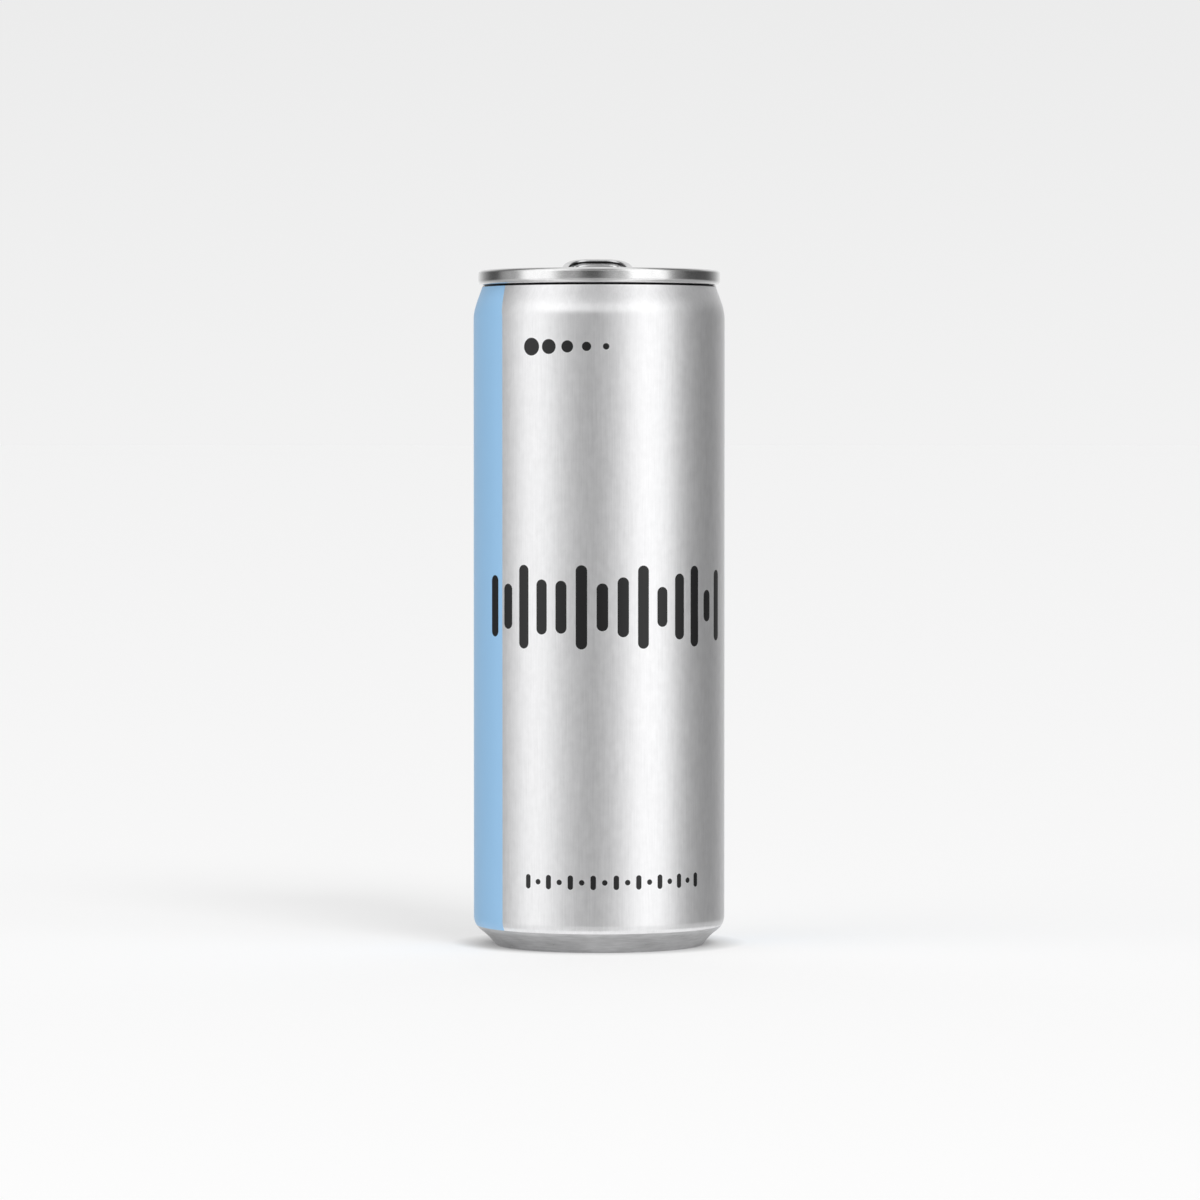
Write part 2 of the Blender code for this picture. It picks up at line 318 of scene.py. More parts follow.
def round_coordinates(tree, position):
    """The angle round the can's axis from the front, and Z, as sockets."""
    parts = add_node(tree, "ShaderNodeSeparateXYZ", {0: position})
    front = add_node(tree, "ShaderNodeMath", {0: parts.outputs["Y"], 1: -1.0}, operation="MULTIPLY")
    turn = add_node(
        tree, "ShaderNodeMath", {0: parts.outputs["X"], 1: front.outputs[0]}, operation="ARCTAN2"
    )
    return turn.outputs[0], parts.outputs["Z"]


def ink_row(tree, along, up, start, step, count, middle, reach):
    """A mask with one rounded shape in each of count equal steps along the wall.

    reach takes the step's number as a socket and gives the half width and half height of the
    shape's straight part, and its corner radius, as numbers or sockets.
    """
    from_start = add_node(tree, "ShaderNodeMath", {0: along, 1: start}, operation="SUBTRACT")
    steps = add_node(tree, "ShaderNodeMath", {0: from_start.outputs[0], 1: step}, operation="DIVIDE")
    number = add_node(tree, "ShaderNodeMath", {0: steps.outputs[0]}, operation="FLOOR")
    fraction = add_node(tree, "ShaderNodeMath", {0: steps.outputs[0]}, operation="FRACT")
    offset = add_node(tree, "ShaderNodeMath", {0: fraction.outputs[0], 1: 0.5}, operation="SUBTRACT")
    sideways = add_node(tree, "ShaderNodeMath", {0: offset.outputs[0], 1: step}, operation="MULTIPLY")
    upwards = add_node(tree, "ShaderNodeMath", {0: up, 1: middle}, operation="SUBTRACT")
    half_width, half_height, corner = reach(number.outputs[0])

    squares = []
    for distance, half in ((sideways, half_width), (upwards, half_height)):
        size = add_node(tree, "ShaderNodeMath", {0: distance.outputs[0]}, operation="ABSOLUTE")
        beyond = add_node(tree, "ShaderNodeMath", {0: size.outputs[0], 1: half}, operation="SUBTRACT")
        clear = add_node(tree, "ShaderNodeMath", {0: beyond.outputs[0], 1: 0.0}, operation="MAXIMUM")
        square = add_node(tree, "ShaderNodeMath", {0: clear.outputs[0], 1: 2.0}, operation="POWER")
        squares.append(square.outputs[0])
    both = add_node(tree, "ShaderNodeMath", {0: squares[0], 1: squares[1]}, operation="ADD")
    gap = add_node(tree, "ShaderNodeMath", {0: both.outputs[0]}, operation="SQRT")
    mask = add_node(tree, "ShaderNodeMath", {0: gap.outputs[0], 1: corner}, operation="LESS_THAN")

    # Nothing comes before the row's first step or after its last
    for limit, side in ((0.0, "GREATER_THAN"), (float(count), "LESS_THAN")):
        within = add_node(tree, "ShaderNodeMath", {0: steps.outputs[0], 1: limit}, operation=side)
        mask = add_node(
            tree, "ShaderNodeMath", {0: mask.outputs[0], 1: within.outputs[0]}, operation="MULTIPLY"
        )
    return mask.outputs[0]


# Materials

# The colour of painted shade, for folds and gaps that hardly any light reaches
PAINTED_SHADE_TONE = "#2C2C2D"

# Where the sum of two noises mostly lies
NOISE_SPAN = {"From Min": 0.6, "From Max": 1.4}

# How metallic the silver is under its varnish
VARNISHED_METALLIC = 0.89

# The print's three rows, in mm: the step from shape to shape, their number and their sizes
BAR_STEP = 4.72
BAR_COUNT = 14
BAR_HALF_WIDTH = 1.3
BAR_SHORTEST = 2.4
DOT_STEP = 4.4
DOT_COUNT = 5
DOT_RADIUS = 2.0
DOT_SHRINK = 0.32
PILL_STEP = 2.6
PILL_COUNT = 17
PILL_RADIUS = 0.62
PILL_HALF_HEIGHT = 1.0

# The wave that the bars' heights follow, in radians: its turn from bar to bar, and its start
WAVE_TURN = 2.05
WAVE_START = 0.7

# How far the stripe's edge spreads on the neck, in radians, and between which heights, in mm
NECK_SPREAD = 0.052
NECK_SPREAD_LOW = 143.3
NECK_SPREAD_HIGH = 150.4


def wall_coordinates(tree, position, print_settings, radius):
    """The angle round the wall, and arc length and height in mm; the print comes twice round."""
    turn, z = round_coordinates(tree, position)
    middle = (print_settings.silver_start + print_settings.silver_end) / 2
    once = add_node(
        tree, "ShaderNodeMath", {0: turn, 1: middle + math.pi / 2, 2: middle - math.pi / 2},
        operation="WRAP",
    )
    along = add_node(tree, "ShaderNodeMath", {0: once.outputs[0], 1: radius / MM}, operation="MULTIPLY")
    up = add_node(tree, "ShaderNodeMath", {0: z, 1: 1 / MM}, operation="MULTIPLY")
    return once.outputs[0], along.outputs[0], up.outputs[0]


def bar_reach(tree, tallest):
    """Upright rounded bars whose heights rise and fall along the row, like a sound wave."""
    def reach(number):
        phase = add_node(
            tree, "ShaderNodeMath", {0: number, 1: WAVE_TURN, 2: WAVE_START}, operation="MULTIPLY_ADD"
        )
        wave = add_node(tree, "ShaderNodeMath", {0: phase.outputs[0]}, operation="SINE")
        size = add_node(tree, "ShaderNodeMath", {0: wave.outputs[0]}, operation="ABSOLUTE")
        heights = {0: size.outputs[0], 1: tallest - BAR_SHORTEST, 2: BAR_SHORTEST - BAR_HALF_WIDTH}
        height = add_node(tree, "ShaderNodeMath", heights, operation="MULTIPLY_ADD")
        return 0.0, height.outputs[0], BAR_HALF_WIDTH

    return reach


def dot_reach(tree):
    """Dots that shrink along the row."""
    def reach(number):
        radii = {0: number, 1: -DOT_SHRINK, 2: DOT_RADIUS}
        radius = add_node(tree, "ShaderNodeMath", radii, operation="MULTIPLY_ADD")
        return 0.0, 0.0, radius.outputs[0]

    return reach


def pill_reach(tree):
    """Upright pills and dots in turn."""
    def reach(number):
        odd = add_node(tree, "ShaderNodeMath", {0: number, 1: 2.0}, operation="MODULO")
        heights = {0: odd.outputs[0], 1: -PILL_HALF_HEIGHT, 2: PILL_HALF_HEIGHT}
        height = add_node(tree, "ShaderNodeMath", heights, operation="MULTIPLY_ADD")
        return 0.0, height.outputs[0], PILL_RADIUS

    return reach


def printed_aluminium(print_settings, radius):
    """Drawn and ironed can aluminium, 3104 alloy, with inks rolled on under a satin varnish.

    The ironing leaves fine upright lines that show through the clear varnish, so the silver
    has soft upright highlights. The sky-blue and black inks are opaque and hide the metal.
    """
    material, tree, shader = new_material("satin_varnished_printed_aluminium")
    position = add_node(tree, "ShaderNodeTexCoord").outputs["Object"]
    turn, along, up = wall_coordinates(tree, position, print_settings, radius)

    # The stripe's edge spreads a little where the wall is drawn in to the neck
    spread = add_node(
        tree, "ShaderNodeMapRange",
        {
            "Value": up, "From Min": NECK_SPREAD_LOW, "From Max": NECK_SPREAD_HIGH,
            "To Min": 0.0, "To Max": -NECK_SPREAD,
        },
    )
    edge = add_node(
        tree, "ShaderNodeMath", {0: spread.outputs[0], 1: print_settings.silver_start}, operation="ADD"
    )
    after = add_node(tree, "ShaderNodeMath", {0: turn, 1: edge.outputs[0]}, operation="GREATER_THAN")
    before = add_node(
        tree, "ShaderNodeMath", {0: turn, 1: print_settings.silver_end}, operation="LESS_THAN"
    )
    silver = add_node(
        tree, "ShaderNodeMath", {0: after.outputs[0], 1: before.outputs[0]}, operation="MULTIPLY"
    )

    bars = bar_reach(tree, print_settings.bars_half_height / MM)
    rows = (
        (print_settings.bars_start, BAR_STEP, BAR_COUNT, print_settings.bars_z, bars),
        (print_settings.small_start, DOT_STEP, DOT_COUNT, print_settings.dots_z, dot_reach(tree)),
        (print_settings.small_start, PILL_STEP, PILL_COUNT, print_settings.pills_z, pill_reach(tree)),
    )
    ink = 0.0
    for start, step, count, middle, reach in rows:
        row = ink_row(tree, along, up, start * radius / MM, step, count, middle / MM, reach)
        ink = add_node(tree, "ShaderNodeMath", {0: ink, 1: row}, operation="MAXIMUM").outputs[0]

    # Ironing lines are about 0.02 mm apart, too fine to show, so they are drawn at 0.3 mm
    lines = grain(tree, position, across=0.3 * MM, upright=9.0 * MM)
    mottle = grain(tree, position, across=1.6 * MM, upright=2.6 * MM, detail=4.0)
    both = add_node(tree, "ShaderNodeMath", {0: lines, 1: mottle}, operation="ADD").outputs[0]
    shade = add_node(
        tree, "ShaderNodeMapRange", {"Value": both, **NOISE_SPAN, "To Min": 0.97, "To Max": 1.13}
    )
    metal = add_node(
        tree, "ShaderNodeVectorMath", {0: list(print_settings.silver), 3: shade.outputs[0]},
        operation="SCALE",
    )
    fields = {"Factor": silver.outputs[0], 6: (*print_settings.stripe, 1.0), 7: metal.outputs[0]}
    striped = add_node(tree, "ShaderNodeMix", fields, data_type="RGBA")
    inked = add_node(
        tree, "ShaderNodeMix", {"Factor": ink, 6: striped.outputs[2], 7: (*print_settings.ink, 1.0)},
        data_type="RGBA",
    )
    no_ink = add_node(tree, "ShaderNodeMath", {0: 1.0, 1: ink}, operation="SUBTRACT")
    bare = add_node(
        tree, "ShaderNodeMath", {0: silver.outputs[0], 1: no_ink.outputs[0]}, operation="MULTIPLY"
    )
    metallic = add_node(
        tree, "ShaderNodeMath", {0: bare.outputs[0], 1: VARNISHED_METALLIC}, operation="MULTIPLY"
    )
    rough = add_node(
        tree, "ShaderNodeMapRange", {"Value": both, **NOISE_SPAN, "To Min": 0.30, "To Max": 0.34}
    )
    bump = add_node(tree, "ShaderNodeBump", {"Height": lines, "Strength": 0.12, "Distance": 0.02 * MM})
    round_wall = add_node(tree, "ShaderNodeTangent", direction_type="RADIAL", axis="Z")
    set_inputs(tree, shader, {
        "Base Color": inked.outputs[2], "Metallic": metallic.outputs[0], "Roughness": rough.outputs[0],
        "Normal": bump.outputs[0], "Tangent": round_wall.outputs[0], "Anisotropic": 0.75,
    })
    return material


def finish_metal(tree, shader, lines, cloud, tones, roughness, strength, shade=None):
    """Gives bare metal its colour, roughness and bump, from its fine lines and cloudy patches.

    shade names a mesh attribute that is 1 where painted shade darkens a fold.
    """
    both = add_node(tree, "ShaderNodeMath", {0: lines, 1: cloud}, operation="ADD").outputs[0]
    blend = add_node(tree, "ShaderNodeMapRange", {"Value": both, **NOISE_SPAN}).outputs[0]
    low, high = ((*srgb(code), 1.0) for code in tones)
    tone = add_node(tree, "ShaderNodeMix", {"Factor": blend, 6: low, 7: high}, data_type="RGBA")
    # Painted shade: the colour is mixed towards a dark tone where the attribute says
    if shade:
        painted_shade_amount = add_node(tree, "ShaderNodeAttribute", attribute_name=shade).outputs["Fac"]
        painted_shade_mix = {"Factor": painted_shade_amount, 6: tone.outputs[2], 7: (*srgb(PAINTED_SHADE_TONE), 1.0)}
        tone = add_node(tree, "ShaderNodeMix", painted_shade_mix, data_type="RGBA")
    rough = add_node(
        tree, "ShaderNodeMapRange",
        {"Value": both, **NOISE_SPAN, "To Min": roughness[0], "To Max": roughness[1]},
    )
    bump = add_node(
        tree, "ShaderNodeBump", {"Height": lines, "Strength": strength, "Distance": 0.01 * MM}
    )
    set_inputs(tree, shader, {
        "Base Color": tone.outputs[2], "Metallic": 1.0, "Roughness": rough.outputs[0],
        "Normal": bump.outputs[0],
    })


def bare_can_aluminium():
    """The same wall where print and varnish stop: bare aluminium, darker than under the varnish; the
    dark tone is partly the bare metal and partly painted shade, for the shaded floor near the foot that
    it mirrors.

    Its forming leaves fine lines round the foot and soft cloudy patches.
    """
    material, tree, shader = new_material("bare_drawn_aluminium")
    position = add_node(tree, "ShaderNodeTexCoord").outputs["Object"]

    # The real lines are about 0.05 mm apart, too fine to show, so they are drawn at 0.25 mm
    lines = grain(tree, position, across=4.0 * MM, upright=0.25 * MM, detail=2.0)
    cloud = grain(tree, position, across=7.0 * MM, upright=2.0 * MM, detail=2.0)
    # The tones are partly the bare metal's own and partly painted shade, kept dark for the shaded floor
    # the foot mirrors
    finish_metal(tree, shader, lines, cloud, ("#ABABAC", "#D2D2D3"), (0.27, 0.32), 0.03)
    return material


def stamped_aluminium(name, tones, roughness, strength, shade=None):
    """Rolled aluminium sheet, stamped: fine straight rolling lines along X under a clear lacquer."""
    material, tree, shader = new_material(name)
    position = add_node(tree, "ShaderNodeTexCoord").outputs["Object"]
    turned_over = add_node(
        tree, "ShaderNodeMapping", {"Vector": position, "Rotation": (0.0, math.pi / 2, 0.0)}
    )

    # Rolling lines are about 0.03 mm apart, too fine to show, so they are drawn at 0.16 mm
    lines = grain(tree, turned_over.outputs[0], across=0.16 * MM, upright=14.0 * MM)
    cloud = grain(tree, position, across=3.0 * MM, upright=3.0 * MM, detail=4.0)
    finish_metal(tree, shader, lines, cloud, tones, roughness, strength, shade)
    return material


def painted_shade_gap():
    """Painted shade for the narrow gap under the seam: the bare wall there coloured dark and dull, as
    little light gets in.
    """
    material, tree, shader = new_material("painted_shade_neck_gap")
    set_inputs(tree, shader, {"Base Color": (*srgb(PAINTED_SHADE_TONE), 1.0), "Metallic": 1.0, "Roughness": 0.45})
    return material


# Body

# How high the top part of the neck is that the seam shades, and that is coloured dark as painted shade
NECK_GAP = 0.38 * MM

# The body's material slots for its bare foot and dome, and for the painted shade on that part
BARE_SLOT = 1
PAINTED_SHADE_SLOT = 2


def body_profile(body, lid):
    """The can's outline from the middle of the dome, round the foot and up to under the lid."""
    nose_outer = 0.6 * MM
    nose_inner = 0.5 * MM
    foot_wall_z = 2.2 * MM
    foot_wall_handle = 0.5 * MM
    dome_edge = (21.5 * MM, 3.0 * MM)
    dome_blend = 0.55
    dome_dip = 0.02 * MM
    flank_handle = 1.5 * MM
    chime_slope = 36.0
    foot_slope = 52.0
    neck_lean = 1.4
    rim_round = 0.15 * MM
    gap_ledge = 0.4 * MM
    gap_inset = 0.45 * MM
    seam_play = 0.02 * MM
    wall = 0.35 * MM
    drink = (25.3 * MM, 146.2 * MM)

    rise = body.dome_height - dome_edge[1]
    dome_radius = (dome_edge[0] ** 2 + rise ** 2) / (2 * rise)
    edge_angle = math.degrees(math.acos(dome_edge[0] / dome_radius))
    points = arc((0.0, body.dome_height - dome_radius), dome_radius, 90.0, edge_angle, 24)
    points[0] = (0.0, body.dome_height)
    inner_wall = body.foot_inner - nose_inner
    corner = (inner_wall, foot_wall_z)
    blend = (dome_edge[0] + dome_blend * (inner_wall - dome_edge[0]), dome_edge[1] - dome_dip)
    points += bezier(points[-1], blend, (inner_wall, foot_wall_z + foot_wall_handle), corner, 8)
    points += [corner] + line(corner, (inner_wall, nose_inner), 3)
    points += arc((body.foot_inner, nose_inner), nose_inner, 180.0, 270.0, 8)[1:]

    nose = arc((body.foot_outer, nose_outer), nose_outer, 270.0, 270.0 + foot_slope, 8)
    chime_centre = (body.radius - body.chime_radius, body.chime_z)
    chime = arc(chime_centre, body.chime_radius, chime_slope - 90.0, 0.0, 24)
    lift = (math.cos(math.radians(foot_slope)), math.sin(math.radians(foot_slope)))
    lean = (math.cos(math.radians(chime_slope)), math.sin(math.radians(chime_slope)))
    start_handle = tuple(value + flank_handle * way for value, way in zip(nose[-1], lift))
    end_handle = tuple(value - flank_handle * way for value, way in zip(chime[0], lean))
    points += nose + bezier(nose[-1], start_handle, end_handle, chime[0], 12) + chime

    # neck_lean keeps the neck leaning in right up to the seam
    points += line(chime[-1], (body.radius, body.shoulder_z), 12)[:-1]
    top_z = lid.seam_top_z - lid.seam_depth - seam_play
    for z in np.linspace(body.shoulder_z, top_z - NECK_GAP, 30):
        ratio = float(z - body.shoulder_z) / (body.neck_z - body.shoulder_z)
        drawn = ratio ** 2 * (3 - 2 * ratio) + neck_lean * (ratio ** 3 - ratio ** 2)
        points.append((body.radius + (body.neck_radius - body.radius) * drawn, float(z)))
    points += arc((points[-1][0] - rim_round, points[-1][1]), rim_round, 30.0, 90.0, 2)
    rim_r, rim_z = points[-1]
    gap_r = rim_r - gap_inset
    points += [(rim_r - gap_ledge, rim_z), (gap_r, top_z)]

    # Hidden under the lid: the neck's rim and the surface of the drink
    points += [(gap_r - wall, top_z), drink, (0.0, drink[1])]
    return points


class MESH_OT_drink_can_body(Operator):
    """Make the can's wall with its print, and the bare foot under it"""

    bl_idname = "mesh.drink_can_body"
    bl_label = "Can body"

    def execute(self, context):
        body = context.scene.drink_can_body
        lid = context.scene.drink_can_lid
        points, faces = turned(body_profile(body, lid), body.sides)
        piece = add_piece("printed_can_body", points, faces, "can_body")
        printed = printed_aluminium(context.scene.drink_can_print, body.radius)
        for material in (printed, bare_can_aluminium(), painted_shade_gap()):
            piece.data.materials.append(material)
        # Above gap_z the faces wear painted shade, for the dark gap under the seam
        gap_z = lid.seam_top_z - lid.seam_depth - NECK_GAP
        for face in piece.data.polygons:
            x, y, z = face.center
            in_dome = math.hypot(x, y) < body.foot_inner and z < body.dome_height + MM
            if in_dome or z < body.print_edge_z:
                face.material_index = BARE_SLOT
            elif z > gap_z:
                face.material_index = PAINTED_SHADE_SLOT
        return {"FINISHED"}


# Lid

# The panel's pressings, in mm from the can's axis. The recessed field is a belt round two
# circles: the front one's y and radius, then the back one's. Each oval is its centre's y,
# its half width, its half length and how square it is.
FIELD = (-7.6, 13.6, 12.4, 8.6)
FIELD_EDGE = 0.35
OPENING = (-12.0, 10.4, 8.1, 2.3)
FINGER_WELL = (14.2, 6.6, 4.9, 2.4)
FINGER_WELL_EDGE = (-1.1, 0.5)
FINGER_WELL_DEPTH = 0.42

# The two score lines: how far inside the opening's edge, their width and their depth
SCORES = ((0.0, 0.26, 0.13), (0.9, 0.22, 0.05))

# Where they stop for the hinge, as a bearing from the opening's middle in degrees
HINGE_BEARING = 128.0
HINGE_WIDTH = 17.0

# The bead inside the opening, the ring round the rivet, the bumps and the panel's plain edge
BEAD_INSET = 3.1
BEAD_WIDTH = 0.75
BEAD_HEIGHT = 0.34
BEAD_FROM = (8.4, 11.0)
RIVET_RING_RADIUS = 5.1
RIVET_RING_WIDTH = 0.35
RIVET_RING_DEPTH = 0.08
BUMP_PLACE = (9.6, 4.4)
BUMP_WIDTH = 0.8
BUMP_HEIGHT = 0.3
PLAIN_EDGE = 1.4


def belt_distance(x, y, front_y, front_radius, back_y, back_radius):
    """Distance to a belt round two circles on the Y axis, negative inside."""
    reach = back_y - front_y
    lean = (front_radius - back_radius) / reach
    upright = math.sqrt(1.0 - lean * lean)
    across = np.abs(x)
    along = y - front_y
    side = upright * along - lean * across
    front = np.hypot(across, along) - front_radius
    back = np.hypot(across, along - reach) - back_radius
    straight = upright * across + lean * along - front_radius
    return np.where(side < 0.0, front, np.where(side > upright * reach, back, straight))


def oval_distance(x, y, centre_y, half_width, half_length, power):
    """Distance to a rounded outline along the ray from its centre, negative inside."""
    along = y - centre_y
    size = (np.abs(x / half_width) ** power + np.abs(along / half_length) ** power) ** (1.0 / power)
    return np.hypot(x, along) * (1.0 - 1.0 / np.maximum(size, 1e-6))


def lid_relief(lid):
    """The panel's pressings as heights over its flat, from x and y in metres."""
    recess_mm = lid.recess / MM
    edge = lid.groove_radius / MM - PLAIN_EDGE

    def relief(x_m, y_m):
        x = x_m / MM
        y = y_m / MM
        radius = np.hypot(x, y)
        field = belt_distance(x, y, *FIELD)
        height = -recess_mm * (1.0 - smooth_step(field, -FIELD_EDGE, FIELD_EDGE))

        # Pour opening: the score, a finer line inside it and the bead that stiffens it
        opening = oval_distance(x, y, *OPENING)
        bearing = np.degrees(np.arctan2(y - OPENING[0], x))
        hinge = ridge(np.mod(bearing - HINGE_BEARING + 180.0, 360.0) - 180.0, HINGE_WIDTH)
        for inset, width, depth in SCORES:
            height -= depth * ridge(opening + inset, width) * (1.0 - hinge)
        bead = ridge(opening + BEAD_INSET, BEAD_WIDTH) * smooth_step(-y, *BEAD_FROM)
        height += BEAD_HEIGHT * bead

        # Finger well under the raised end, and the ring coined round the rivet
        well = oval_distance(x, y, *FINGER_WELL)
        height -= FINGER_WELL_DEPTH * (1.0 - smooth_step(well, *FINGER_WELL_EDGE))
        height -= RIVET_RING_DEPTH * ridge(radius - RIVET_RING_RADIUS, RIVET_RING_WIDTH)

        # Two bumps that hold the tab straight
        for side in (-1.0, 1.0):
            apart = np.hypot(x - side * BUMP_PLACE[0], y - BUMP_PLACE[1])
            height += BUMP_HEIGHT * ridge(apart, BUMP_WIDTH)
        return np.where(radius < edge, height, 0.0) * MM

    return relief


def lid_profile(lid):
    """The lid's outline from the middle of the panel, over the seam and back underneath."""
    groove_round = 0.6 * MM
    panel_round = 0.5 * MM
    crown_outer = 0.9 * MM
    crown_inner = 0.6 * MM
    seam_lower = 1.1 * MM
    lean = math.degrees(lid.chuck_angle)
    panel_z = lid.seam_top_z - lid.panel_depth
    groove = (lid.groove_radius, lid.seam_top_z - lid.groove_depth)
    seam_bottom = lid.seam_top_z - lid.seam_depth

    def chuck(z, depth):
        foot_r = groove[0] + (groove_round + depth) * math.cos(lid.chuck_angle)
        foot_z = groove[1] - (groove_round + depth) * math.sin(lid.chuck_angle)
        return foot_r + (z - foot_z) * math.tan(lid.chuck_angle)

    def panel_edge(depth, steps):
        edge_r = groove[0] - groove_round
        corner = panel_round - depth
        centre = (edge_r - panel_round, panel_z - panel_round)
        bend = arc(groove, groove_round + depth, 180.0, 360.0 - lean, 2 * steps)
        return arc(centre, corner, 90.0, 0.0, steps) + bend

    visible = line((0.0, panel_z), (groove[0] - groove_round - panel_round, panel_z), 110)[:-1]
    visible += panel_edge(0.0, 7)
    inner_z = lid.seam_top_z - crown_inner
    touch_z = inner_z + crown_inner * math.sin(lid.chuck_angle)
    inner_r = chuck(touch_z, 0.0) + crown_inner * math.cos(lid.chuck_angle)
    crown = arc((inner_r, inner_z), crown_inner, 180.0 - lean, 90.0, 8)
    outer_centre = (lid.seam_radius - crown_outer, lid.seam_top_z - crown_outer)
    crown += arc(outer_centre, crown_outer, 90.0, 0.0, 10)
    visible += line(visible[-1], crown[0], 5)[:-1] + crown
    lower_centre = (lid.seam_radius - seam_lower, seam_bottom + seam_lower)
    visible += arc(lower_centre, seam_lower, 0.0, -80.0, 10)

    under_seam = (chuck(seam_bottom, lid.sheet), seam_bottom)
    under_edge = panel_edge(lid.sheet, 4)[::-1]
    hidden = [under_seam] + line(under_seam, under_edge[0], 3)[:-1] + under_edge
    hidden += line(hidden[-1], (0.0, panel_z - lid.sheet), 40)
    return [(0.0, panel_z)] + visible + hidden


def rivet_profile(tongue_z):
    """The rivet's button: a short shank and a flattened head with a coined middle."""
    shank = 1.7 * MM
    shank_depth = 0.7 * MM
    shank_gap = 0.15 * MM
    head = 2.7 * MM
    head_lift = 0.85 * MM
    head_height = 0.62 * MM
    edge = 0.28 * MM
    dish_outer = 1.75 * MM
    dish_inner = (1.35 * MM, 0.16 * MM)
    dish_depth = 0.2 * MM
    low = tongue_z - shank_depth
    head_z = tongue_z + head_lift
    top_z = head_z + head_height
    points = [(0.0, low), (shank, low), (shank, head_z - shank_gap)]
    points += arc((head - edge, head_z + edge), edge, 270.0, 360.0, 6)
    points += arc((head - edge, top_z - edge), edge, 0.0, 90.0, 6)
    points += line(points[-1], (dish_outer, top_z), 2)
    points += line(points[-1], (dish_inner[0], top_z - dish_inner[1]), 4)
    points += line(points[-1], (0.0, top_z - dish_depth), 4)
    return points


class MESH_OT_drink_can_lid(Operator):
    """Make the lid with its seam, groove, pressed panel and rivet"""

    bl_idname = "mesh.drink_can_lid"
    bl_label = "Lid"

    def execute(self, context):
        lid = context.scene.drink_can_lid
        points, faces = turned(lid_profile(lid), lid.sides, lid_relief(lid))
        end_stock = stamped_aluminium(
            "lacquered_rolled_end_aluminium", ("#DCDCDC", "#EFEFEF"), (0.18, 0.23), 0.10
        )
        piece = add_piece("seamed_lid", points, faces, "can_end")
        piece.data.materials.append(end_stock)
        points, faces = turned(rivet_profile(TAB_LOW[2]), 96)
        rivet = add_piece("lid_rivet", points, faces, "can_end")
        rivet.data.materials.append(end_stock)
        return {"FINISHED"}


# Tab

# It is modelled flat in mm: X across, Y towards the finger end, Z up from the curl's underside.
# Powers say how square an outline is, and margins how far past the tongue its fold reaches.
NOSE_Y = -8.8
END_Y = 16.5
MIDDLE_Y = (END_Y + NOSE_Y) / 2
HALF_LENGTH = (END_Y - NOSE_Y) / 2
PIVOT_Y = NOSE_Y + 0.64
END_POWER = 3.3
NOSE_POWER = 2.4
INNER_POWER = 3.0
WEB_UNDER = 1.2
WEB_SLOPE = (0.15, 0.5, 1.1)
SLOT_Y = -0.2
SLOT_HALF = (4.6, 4.8)
SLOT_FLARE = 0.1
FINGER_HOLE_Y = 9.6
FINGER_HOLE_HALF = (5.1, 2.7)
FINGER_HOLE_POWER = 2.8
HEM_RADIUS = 0.36
HEM_Z = 0.37
RIVET_HOLE_RADIUS = 2.05
TONGUE_RADIUS = 3.7
TONGUE_HALF_WIDTH = 2.5
TONGUE_FOLD = (-4.3, -2.6)
TONGUE_MARGIN = 0.45
TONGUE_NECK_MARGIN = 0.12
CUT_HEIGHTS = (-1.0, 3.0)
LEAST_POINTS = 1000

# Stamped ribs: where the rails' ribs rise and end along Y, and the oval of the nose's rib
RIB_HEIGHT = 0.16
RAIL_RIB_X = 6.15
RAIL_RIB_WIDTH = 0.7
RAIL_RIB_ENDS = ((-4.0, -1.5), (4.0, 6.5))
NOSE_RIB = (-1.6, 5.6, 5.4, 2.0)
NOSE_RIB_WIDTH = 0.6
NOSE_RIB_FROM = (3.6, 5.4)

# The painted shade under the curl's inner side: heights, distances in from the tab's edge, and Y
SHADE_HEIGHTS = ((0.36, 0.46), (0.85, 1.05))
SHADE_DEPTHS = ((1.0, 1.2), (1.9, 2.1))
SHADE_FROM = (3.0, 6.0)


def tab_outline(half_width, inset, sides=160):
    """The tab's edge, moved in by inset: squarer at the finger end than at the nose."""
    end = oval(MIDDLE_Y, half_width - inset, HALF_LENGTH - inset, END_POWER, sides)
    nose = oval(MIDDLE_Y, half_width - inset, HALF_LENGTH - inset, NOSE_POWER, sides)
    half = sides // 2
    return np.vstack([end[:half + 1], nose[half + 1:]])


def tab_sections(tab):
    """Pairs of inset and height: under the web, round the curled edge and down onto the web."""
    crown = tab.bead / MM / 2
    half = tab.thickness / MM / 2
    web_low = tab.web_bottom / MM
    web_high = tab.web_top / MM
    under = []
    for t in np.linspace(1.0, 0.2, 5):
        under.append((crown + WEB_UNDER * t, web_low * smooth_step(t, 0.0, 1.0)))
    curl = []
    for t in np.radians(np.linspace(-90.0, 90.0, 17)):
        curl.append((crown - crown * math.cos(t), half + half * math.sin(t)))
    last = 180.0 + math.degrees(math.asin(((half - web_high) / half) ** (INNER_POWER / 2)))
    for t in np.radians(np.linspace(90.0, last, 18)[1:]):
        across = abs(math.cos(t)) ** (2 / INNER_POWER)
        lift = math.copysign(abs(math.sin(t)) ** (2 / INNER_POWER), math.sin(t))
        curl.append((crown + crown * across, half + half * lift))
    slope = [(curl[-1][0] + step, web_high) for step in WEB_SLOPE]
    return under + curl + slope


def through_cutter(name, outline):
    """An upright solid that cuts right through the flat tab."""
    return mesh_object(name, *lofted([at_height(outline, z) for z in CUT_HEIGHTS]))


